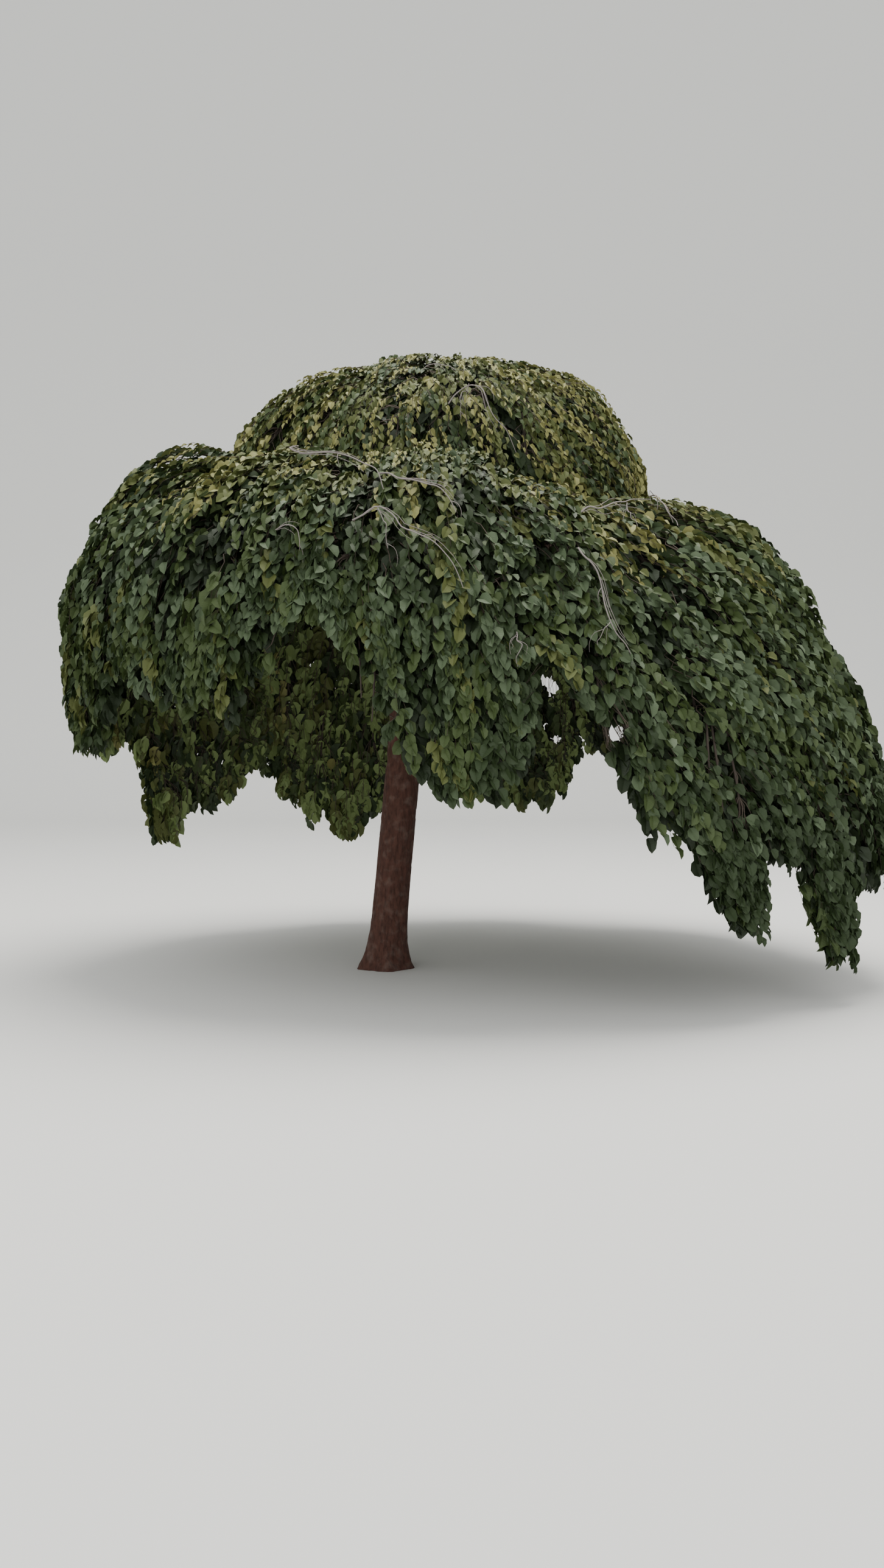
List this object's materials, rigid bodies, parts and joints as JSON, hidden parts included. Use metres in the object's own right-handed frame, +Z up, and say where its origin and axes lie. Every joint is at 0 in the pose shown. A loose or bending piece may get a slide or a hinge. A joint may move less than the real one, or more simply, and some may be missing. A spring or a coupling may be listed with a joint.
{
  "type": "weeping elm tree",
  "caption": "Weeping elm with a leaning, flared trunk and an umbrella crown whose leafy curtains hang nearly to the ground.",
  "frame": {"origin": "centre of the flat cut under the trunk, at ground level", "axes": "+Z up the tree, -Y towards the side seen in the picture, +X to the right of the picture"},
  "size_m": [5.2059, 4.6063, 3.96],
  "materials": {
    "bark": "rough furrowed bark, unfinished",
    "leaves": "dull leaf green with a soft sheen"
  },
  "bodies": {
    "root": {"trunk": "bark", "bough_right": "bark", "bough_back_right": "bark", "bough_back": "bark", "bough_back_left": "bark", "bough_left_back": "bark", "bough_left": "bark", "bough_front_left": "bark", "bough_front": "bark", "bough_front_right": "bark", "leader_right": "bark", "leader_left": "bark", "leader_front": "bark", "foliage_top": "leaves", "foliage_dome_right": "leaves", "foliage_dome_back": "leaves", "foliage_dome_left": "leaves", "foliage_dome_front_left": "leaves", "foliage_dome_front": "leaves", "foliage_shoulder_right": "leaves", "foliage_shoulder_back_right": "leaves", "foliage_shoulder_back": "leaves", "foliage_shoulder_back_left": "leaves", "foliage_shoulder_left_back": "leaves", "foliage_shoulder_left": "leaves", "foliage_shoulder_front_left": "leaves", "foliage_shoulder_front": "leaves", "foliage_shoulder_front_right": "leaves", "foliage_curtain_right": "leaves", "foliage_curtain_back_right": "leaves", "foliage_curtain_back": "leaves", "foliage_curtain_back_left": "leaves", "foliage_curtain_left_back": "leaves", "foliage_curtain_left": "leaves", "foliage_curtain_front_left": "leaves", "foliage_curtain_front": "leaves", "foliage_curtain_front_right": "leaves", "foliage_tip_right_outer": "leaves", "foliage_tip_right_inner": "leaves", "foliage_tip_back_right": "leaves", "foliage_tip_back_left": "leaves", "foliage_tip_left_back": "leaves"}
  },
  "joints": []
}
